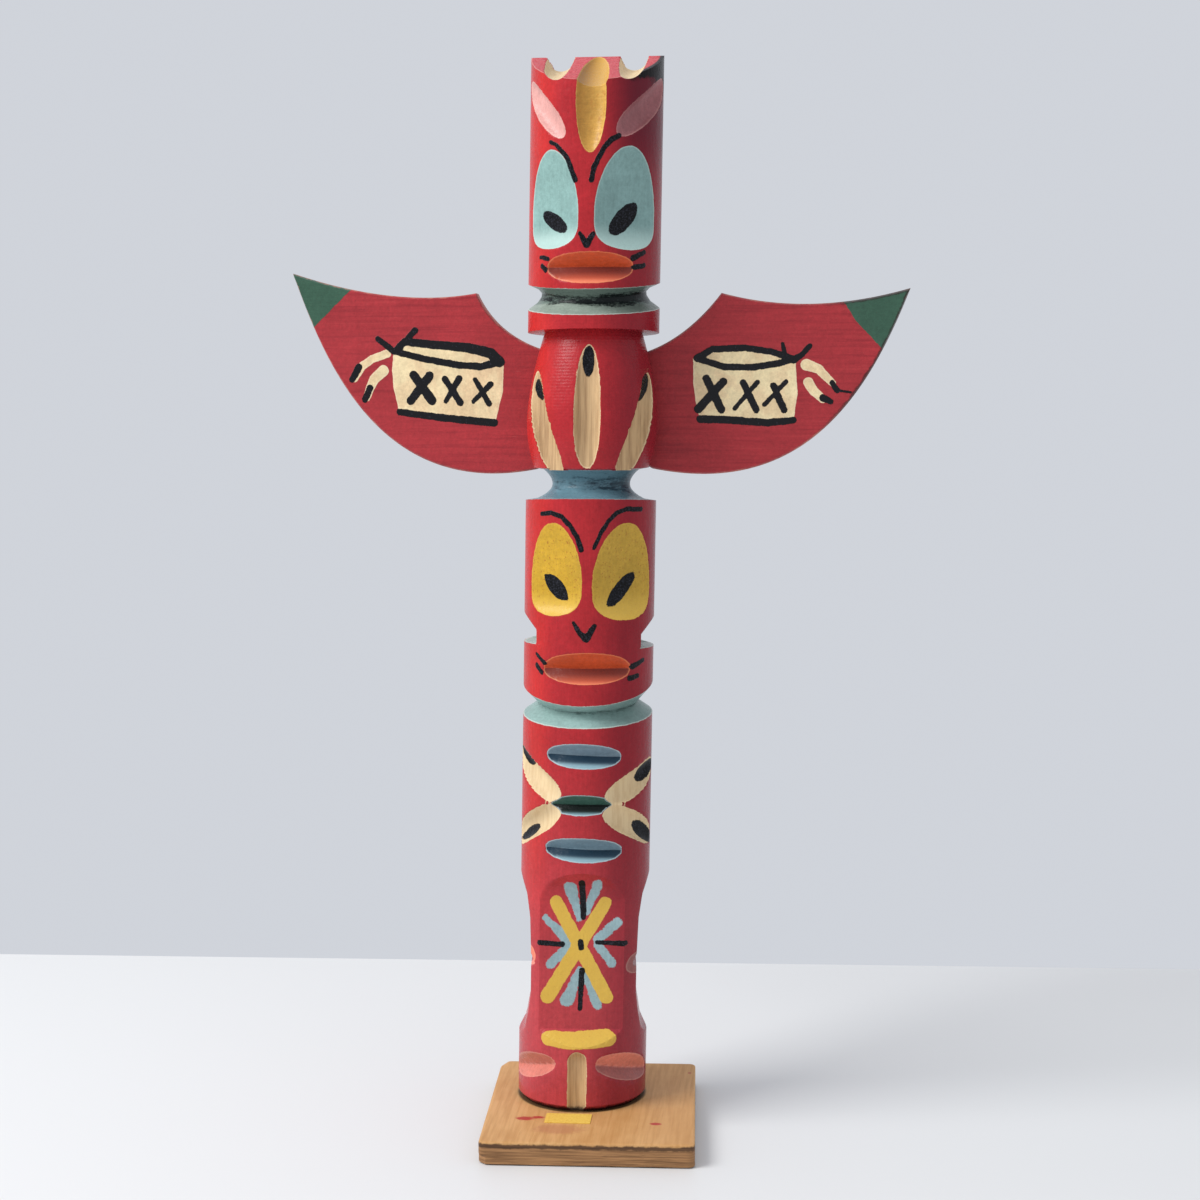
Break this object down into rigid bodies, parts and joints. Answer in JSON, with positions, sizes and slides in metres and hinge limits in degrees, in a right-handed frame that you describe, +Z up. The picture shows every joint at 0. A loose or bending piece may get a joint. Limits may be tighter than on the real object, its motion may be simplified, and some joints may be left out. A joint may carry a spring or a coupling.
{
  "type": "souvenir totem pole",
  "caption": "Carved and painted wooden souvenir totem pole: stacked grooved heads on a round dowel, flat spread wings let into its back, on a small board base.",
  "frame": {"origin": "centre of the foot board's flat underside", "axes": "+Z up the pole, -Y the way the carved faces look, +X along the wings towards the pole's left (the viewer's right)"},
  "size_m": [0.1817, 0.0734, 0.3108],
  "materials": {
    "stained_board": "clear-stained plywood, worn corners",
    "red_enamel": "glossy red enamel on a carved softwood dowel, with painted details in other colours",
    "wing_paint": "satin red paint brushed on a thin board, painted drums and green tips",
    "label_paper": "yellow paper sticker, matt"
  },
  "bodies": {
    "root": {"foot_board": "stained_board", "carved_pole": "red_enamel", "wing_board": "wing_paint", "blank_label": "label_paper"}
  },
  "joints": []
}
